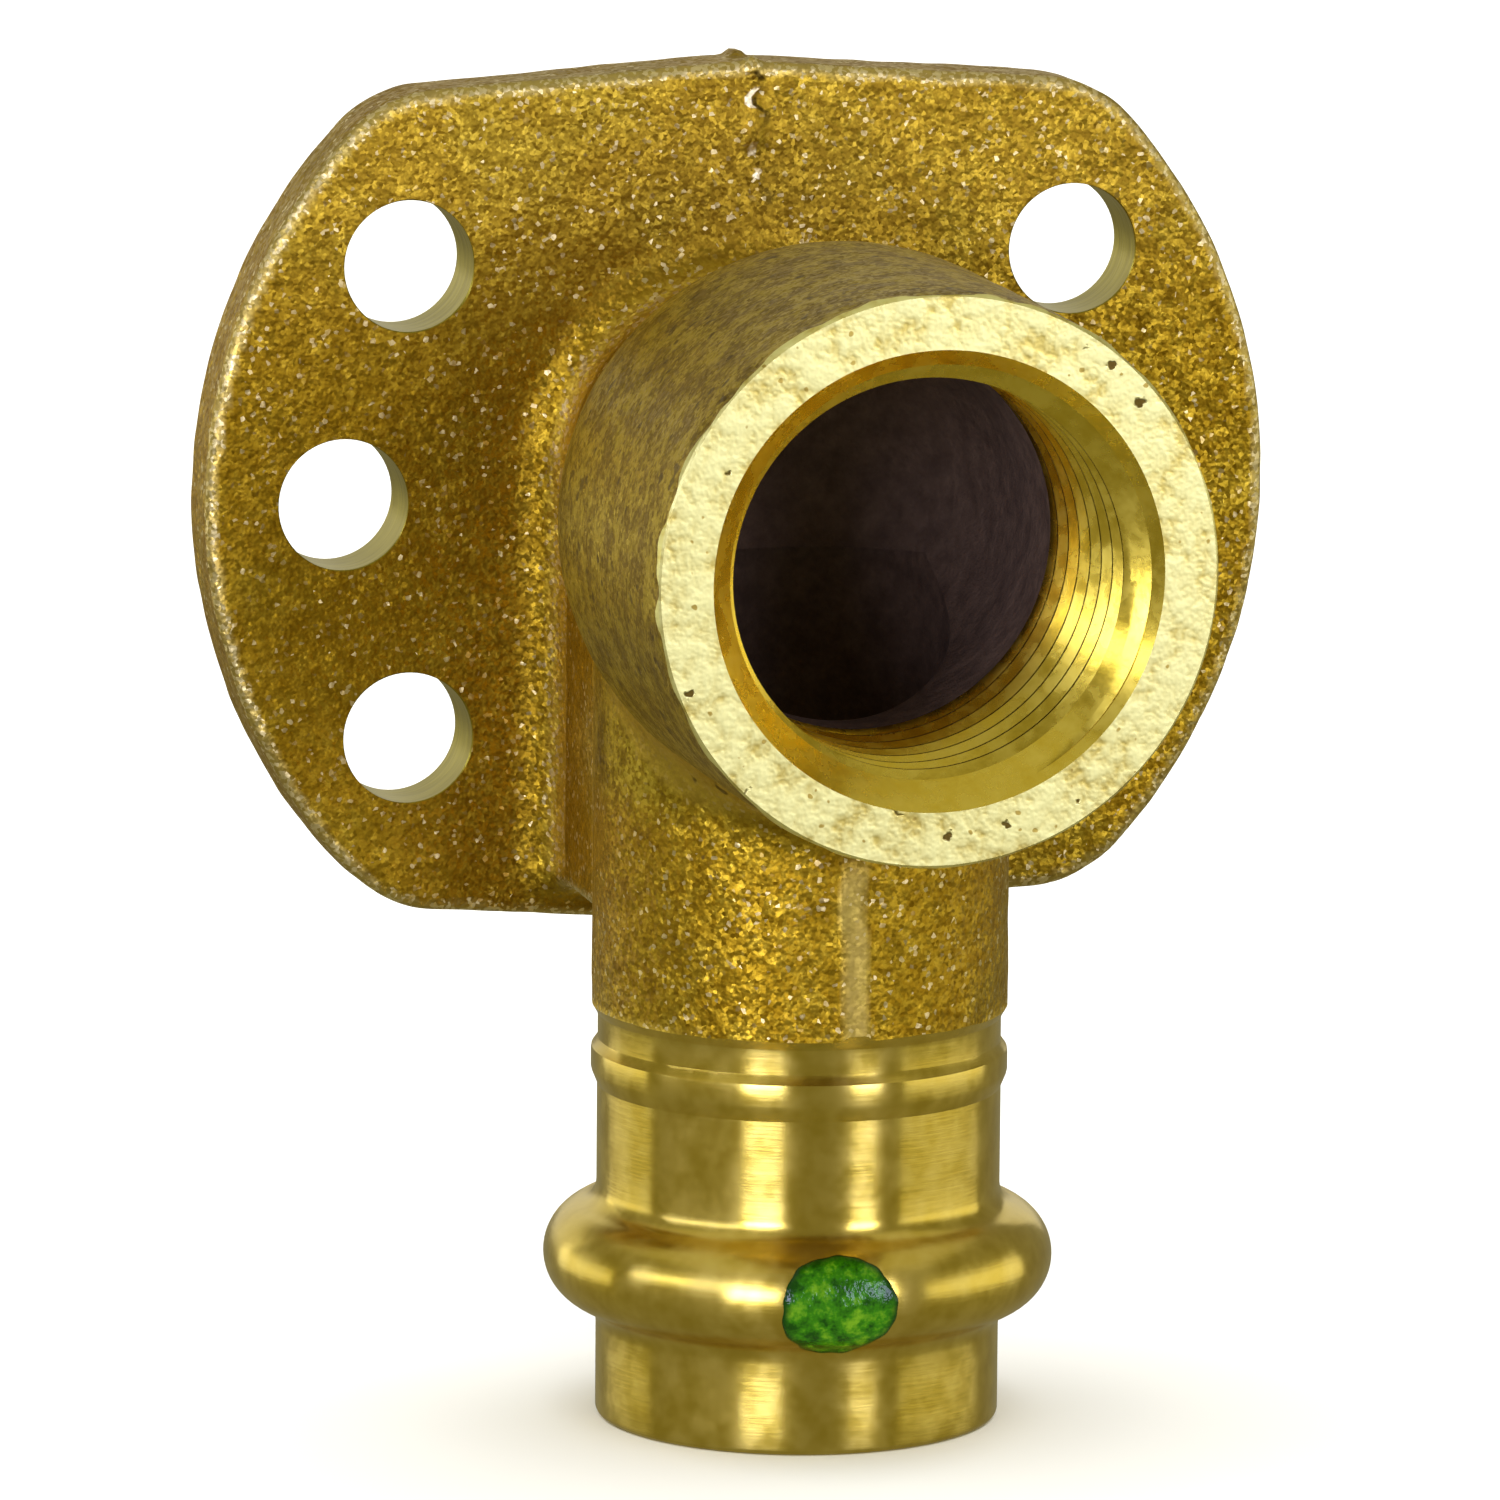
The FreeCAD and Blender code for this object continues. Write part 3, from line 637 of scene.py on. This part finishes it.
lean = add(nt, "VectorMath", {1: (0.5, 0.5, 0.5)}, operation="SUBTRACT")
wire(nt, face_cells, lean.inputs[0])
leant = add(nt, "VectorMath", operation="SCALE")
wire(nt, lean.outputs[0], leant.inputs[0])
wire(nt, sums(nt, "MULTIPLY", quiet, 0.34), leant.inputs["Scale"])
turned_to = add(nt, "VectorMath", operation="ADD")
wire(nt, add(nt, "NewGeometry").outputs["Normal"], turned_to.inputs[0])
wire(nt, leant.outputs[0], turned_to.inputs[1])
unit = add(nt, "VectorMath", operation="NORMALIZE")
wire(nt, turned_to.outputs[0], unit.inputs[0])
relief = sums(nt, "MULTIPLY", grain(nt, at, 2900, 1.0, 0.5), quiet)
wire(nt, bump(nt, relief, 0.5, 0.00014, unit.outputs[0]), shader.inputs["Normal"])
slots.append(m)

# faced end of the boss
m, nt, shader = material("faced_brass")
at = place(nt)
patch = grain(nt, at, 700, 3.0, 0.7)
ragged = grain(nt, at, 2600, 1.0, 0.6)
speck = spread(nt, sums(nt, "ADD", cells(nt, at, 430), sums(nt, "MULTIPLY", ragged, 0.3)), 0.205, 0.25)
nick = spread(nt, sums(nt, "ADD", cells(nt, at, 1150), sums(nt, "MULTIPLY", ragged, 0.4)), 0.265, 0.33)
colour = colours(nt, patch, [(0.34, (0.68, 0.54, 0.12)), (0.46, (0.86, 0.77, 0.255)), (0.6, (0.94, 0.88, 0.335))])
colour = blend(nt, nick, (0.50, 0.36, 0.07), colour)
colour = blend(nt, speck, (0.14, 0.09, 0.015), colour)
wire(nt, colour, shader.inputs["Base Color"])
shader.inputs["Metallic"].default_value = 1.0
wire(nt, spread(nt, patch, 0.3, 0.7, 0.36, 0.5), shader.inputs["Roughness"])
height = sums(nt, "ADD", sums(nt, "MULTIPLY", patch, 1.2), sums(nt, "MULTIPLY", speck, 0.8))
wire(nt, bump(nt, height, 0.34, 0.00014), shader.inputs["Normal"])
slots.append(m)

# turned outside of the socket: satin, with the tool's fine rings round it
m, nt, shader = material("turned_brass")
at = place(nt)
stretch = add(nt, "Mapping", {"Scale": (1.0, 1.0, 14.0)})
wire(nt, at, stretch.inputs["Vector"])
rings = grain(nt, stretch.outputs["Vector"], 420, 2.0, 0.6)
mottle = grain(nt, at, 650, 2.0, 0.6)
colour = colours(nt, mottle, [(0.35, (0.66, 0.48, 0.065)), (0.65, (0.78, 0.59, 0.120))])
wire(nt, colour, shader.inputs["Base Color"])
shader.inputs["Metallic"].default_value = 1.0
wire(nt, spread(nt, mottle, 0.3, 0.7, 0.21, 0.27), shader.inputs["Roughness"])
shader.inputs["Anisotropic"].default_value = 0.85
shader.inputs["Anisotropic Rotation"].default_value = 0.25
wire(nt, add(nt, "Tangent", direction_type="RADIAL", axis="Z").outputs[0], shader.inputs["Tangent"])
wire(nt, bump(nt, sums(nt, "ADD", rings, sums(nt, "MULTIPLY", mottle, 0.3)), 0.12, 0.00005), shader.inputs["Normal"])
slots.append(m)

# cut thread and its mouth
m, nt, shader = material("threaded_brass")
at = place(nt)
mottle = grain(nt, at, 800, 3.0, 0.6)
wire(nt, colours(nt, mottle, [(0.35, (0.72, 0.52, 0.045)), (0.65, (0.84, 0.65, 0.09))]), shader.inputs["Base Color"])
shader.inputs["Metallic"].default_value = 1.0
wire(nt, spread(nt, mottle, 0.3, 0.7, 0.22, 0.32), shader.inputs["Roughness"])
wire(nt, bump(nt, mottle, 0.2, 0.00008), shader.inputs["Normal"])
slots.append(m)

# as-cast inside, dark with core residue and with painted shade of the deep recess
m, nt, shader = material("cast_inside")
at = place(nt)
lump = grain(nt, at, 900, 4.0, 0.65)
wire(nt, colours(nt, lump, [(0.35, (0.10, 0.058, 0.032)), (0.7, (0.17, 0.105, 0.06))]), shader.inputs["Base Color"])
shader.inputs["Metallic"].default_value = 0.2
shader.inputs["Roughness"].default_value = 0.75
wire(nt, bump(nt, lump, 0.8, 0.0003), shader.inputs["Normal"])
slots.append(m)

# drilled hole walls
m, nt, shader = material("drilled_brass")
at = place(nt)
stretch = add(nt, "Mapping", {"Scale": (1.0, 9.0, 1.0)})
wire(nt, at, stretch.inputs["Vector"])
rings = grain(nt, stretch.outputs["Vector"], 330, 3.0, 0.6)
wire(nt, colours(nt, rings, [(0.35, (0.36, 0.29, 0.026)), (0.65, (0.48, 0.40, 0.055))]), shader.inputs["Base Color"])
shader.inputs["Metallic"].default_value = 1.0
shader.inputs["Roughness"].default_value = 0.36
wire(nt, bump(nt, rings, 0.25, 0.0001), shader.inputs["Normal"])
slots.append(m)

# ground back of the plate
m, nt, shader = material("ground_brass")
at = place(nt)
stretch = add(nt, "Mapping", {"Scale": (1.0, 1.0, 16.0)})
wire(nt, at, stretch.inputs["Vector"])
lines = grain(nt, stretch.outputs["Vector"], 160, 4.0, 0.65)
wire(nt, colours(nt, lines, [(0.35, (0.56, 0.42, 0.09)), (0.65, (0.74, 0.60, 0.19))]), shader.inputs["Base Color"])
shader.inputs["Metallic"].default_value = 1.0
shader.inputs["Roughness"].default_value = 0.38
wire(nt, bump(nt, lines, 0.3, 0.0001), shader.inputs["Normal"])
slots.append(m)

mesh.materials.clear()
for m in slots:
    mesh.materials.append(m)
mesh.polygons.foreach_set("material_index", slot)

# rubber ring
m, nt, shader = material("ring_rubber")
at = place(nt)
dust = grain(nt, at, 600, 3.0)
wire(nt, colours(nt, dust, [(0.35, (0.012, 0.012, 0.013)), (0.7, (0.03, 0.03, 0.032))]), shader.inputs["Base Color"])
wire(nt, spread(nt, dust, 0.3, 0.7, 0.4, 0.6), shader.inputs["Roughness"])
wire(nt, bump(nt, dust, 0.2, 0.0001), shader.inputs["Normal"])
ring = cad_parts["seal_ring"]
ring.data.materials.clear()
ring.data.materials.append(m)


# ------------------------------------------------------------------ the dot of paint on the bead
def bead_line(w):
    """Radius, height and outward direction at a length w up the bead's outline from its equator."""
    side, a = (1 if w >= 0 else -1), abs(w)
    turn = math.radians(tilt)
    if a <= BEAD_ARC * turn:
        t = a / BEAD_ARC
        return BEAD_C + BEAD_ARC * math.cos(t), side * BEAD_ARC * math.sin(t) - BEAD_Z, math.cos(t), side * math.sin(t)
    a -= BEAD_ARC * turn
    if a <= BEAD_FILLET * turn:
        t = turn - a / BEAD_FILLET
        return SOCKET_R + BEAD_FILLET * (1 - math.cos(t)), side * (lift - BEAD_FILLET * math.sin(t)) - BEAD_Z, math.cos(t), side * math.sin(t)
    a -= BEAD_FILLET * turn
    return SOCKET_R, side * (lift + a) - BEAD_Z, 1.0, 0.0


def paint_film():
    """Closed film that follows the bead, with a thick uneven rim."""
    across, round_it = 22, 96
    centre, middle, wide, tall = math.radians(-95.3), -37.90, 2.80, 2.40
    inner, outer = [], []
    verts, faces = [], []

    def on_bead(u, h, thick):
        """u millimetres across and h up from the dot's middle, both as seen from the front and a little above."""
        a, b = -6.0, 4.0
        for _ in range(40):
            w = (a + b) / 2
            r, up, _r, _u = bead_line(w)
            if 0.985 * up - 0.174 * r < middle + h:
                a = w
            else:
                b = w
        r, up, out_r, out_u = bead_line((a + b) / 2)
        phi = centre + math.asin(u / r)
        r += thick * out_r
        return (r * math.cos(phi), AXIS_Y + r * math.sin(phi), up + thick * out_u)

    rim = [(abs(math.cos(t)) ** 2.15 + abs(math.sin(t)) ** 2.15) ** (-1 / 2.15) * (0.985 + 0.022 * math.sin(3 * t + 2.7) + 0.014 * math.sin(5 * t + 2.1) + 0.010 * math.sin(9 * t + 0.4) + 0.008 * math.sin(17 * t))
           for t in (2 * math.pi * k / round_it for k in range(round_it))]
    for side in (0, 1):
        first = len(verts)
        verts.append(on_bead(0, 0, 0.06 if side == 0 else -0.03))
        for a in range(1, across + 1):
            s = a / across
            for k in range(round_it):
                t = 2 * math.pi * k / round_it
                u, h = wide * s * rim[k] * math.cos(t), tall * s * rim[k] * math.sin(t)
                thick = 0.06 + 0.03 * s ** 4 + 0.012 * math.sin(3.1 * u + 1.0) * math.cos(2.3 * h)
                thick *= max(1 - s ** 14, 0) ** 0.5
                verts.append(on_bead(u, h, -0.03 if side else thick if a < across else -0.01))
        for k in range(round_it):
            n = (k + 1) % round_it
            tri = (first, first + 1 + k, first + 1 + n)
            faces.append(tri if side == 0 else tri[::-1])
            for a in range(across - 1):
                p, q = first + 1 + a * round_it, first + 1 + (a + 1) * round_it
                quad = (p + k, q + k, q + n, p + n)
                faces.append(quad if side == 0 else quad[::-1])
        (inner if side else outer).extend(first + 1 + (across - 1) * round_it + k for k in range(round_it))
    for k in range(round_it):
        n = (k + 1) % round_it
        faces.append((outer[k], inner[k], inner[n], outer[n]))
    return verts, outward(verts, faces)


points, faces = paint_film()
dot = new_object("paint_dot", points, faces)
half = np.concatenate([[0.0], np.repeat(np.arange(1, 23) / 22, 96)])
dot.data.attributes.new("rim", "FLOAT", "POINT").data.foreach_set("value", np.tile(half, 2).astype(np.float32))
dot.data.polygons.foreach_set("use_smooth", np.ones(len(dot.data.polygons), bool))
m, nt, shader = material("green_paint")
at = place(nt)
flow = grain(nt, at, 1250, 3.0, 0.65)
colour = colours(nt, flow, [(0.36, (0.005, 0.047, 0.0004)), (0.52, (0.026, 0.145, 0.001)), (0.68, (0.12, 0.275, 0.006))])
# darker round the dot's edge: painted shadow along the paint's thick edge
colour = blend(nt, spread(nt, painted(nt, "rim"), 0.80, 1.0), colour, (0.004, 0.032, 0.001))
wire(nt, colour, shader.inputs["Base Color"])
shader.inputs["Roughness"].default_value = 0.18
shader.inputs["Specular IOR Level"].default_value = 0.28
wire(nt, bump(nt, grain(nt, at, 1400, 3.0, 0.6), 0.5, 0.00022), shader.inputs["Normal"])
dot.data.materials.append(m)
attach(dot, "root")

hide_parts("elbow_body")
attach(body, "root")

# ------------------------------------------------------------------ floor, light and camera
FLOOR_Z = -SOCKET_END * 0.001
floor = bpy.data.objects.new("floor", bpy.data.meshes.new("floor"))
floor.data.from_pydata([(-4, -4, FLOOR_Z), (4, -4, FLOOR_Z), (4, 4, FLOOR_Z), (-4, 4, FLOOR_Z)], [], [(0, 1, 2, 3)])
bpy.context.scene.collection.objects.link(floor)
paper, nt, shader = material("paper")
shader.inputs["Base Color"].default_value = (0.86, 0.86, 0.85, 1)
shader.inputs["Roughness"].default_value = 0.9
floor.data.materials.append(paper)
floor.visible_glossy = floor.visible_shadow = False


def lamp(name, place, aim, width, height, power, spread=180.0, turn=0.0, colour=(1.0, 1.0, 1.0)):
    data = bpy.data.lights.new(name, "AREA")
    data.shape = "RECTANGLE"
    data.size, data.size_y, data.energy, data.spread = width, height, power, math.radians(spread)
    data.color = colour
    obj = bpy.data.objects.new(name, data)
    obj.location = place
    obj.rotation_mode = "QUATERNION"
    obj.rotation_quaternion = Quaternion((0, 0, 1), math.radians(turn)) @ (Vector(aim) - Vector(place)).to_track_quat("-Z", "Y")
    bpy.context.scene.collection.objects.link(obj)
    return obj


# the boxes light the part, and the lamp above lights the floor
part_only = bpy.data.collections.new("part_only")
part_only.objects.link(floor)
part_only.collection_objects[0].light_linking.link_state = "EXCLUDE"
floor_only = bpy.data.collections.new("floor_only")
floor_only.objects.link(floor)
COOL = (0.94, 0.97, 1.5)
for box in (lamp("left_box", (-0.475, -0.705, 0.065), (0, 0, -0.02), 0.32, 0.21, 2.8, colour=COOL),
            lamp("left_strip", (-0.716, -0.381, 0.256), (0, 0, -0.02), 1.10, 0.10, 2.0, colour=COOL),
            lamp("left_side", (-0.67, 0.523, -0.04), (0, 0, -0.03), 0.70, 0.30, 0.72),
            lamp("right_box", (0.318, -0.788, 0.16), (0, 0, -0.01), 0.22, 0.40, 2.3, colour=COOL),
            lamp("right_side", (0.80, -0.21, 0.01), (0, 0, -0.03), 1.00, 0.40, 1.3),
            lamp("back_box", (0.0, 0.87, 0.20), (0, 0, 0), 1.40, 0.46, 1.15),
            lamp("top_box", (0.0, 0.1, 0.75), (0, 0.1, 0), 1.4, 1.2, 1.65)):
    box.light_linking.receiver_collection = part_only
lamp("floor_lamp", (0, 0, 1.25), (0, 0, 0), 3.0, 3.0, 67.0).light_linking.receiver_collection = floor_only
world = bpy.data.worlds.new("studio")
bpy.context.scene.world = world
world.use_nodes = True
world.node_tree.nodes["Background"].inputs["Color"].default_value = (1.0, 0.94, 0.60, 1)
world.node_tree.nodes["Background"].inputs["Strength"].default_value = 0.25

camera = bpy.data.objects.new("camera", bpy.data.cameras.new("camera"))
bpy.context.scene.collection.objects.link(camera)
bpy.context.scene.camera = camera
PIXELS, FOCUS = 1500, 11782.6
az, el, roll = math.radians(14.79), math.radians(10.02), math.radians(0.469)
toward = Vector((math.sin(az) * math.cos(el), math.cos(az) * math.cos(el), -math.sin(el)))
level = Vector((math.cos(az), -math.sin(az), 0))
right = math.cos(roll) * level + math.sin(roll) * level.cross(toward)
up = right.cross(toward)
toward = (toward - 7.45 / FOCUS * right - 12.44 / FOCUS * up).normalized()
right = toward.cross(up).normalized()
up = right.cross(toward)
camera.matrix_world = Matrix.Translation((-0.142864, -0.548139, 0.086123)) @ Matrix((right, up, -toward)).transposed().to_4x4()
camera.data.sensor_width = 36.0
camera.data.lens = 36.0 * FOCUS / PIXELS
camera.data.clip_start, camera.data.clip_end = 0.05, 20.0

scene = bpy.context.scene
scene.view_settings.view_transform = "Standard"
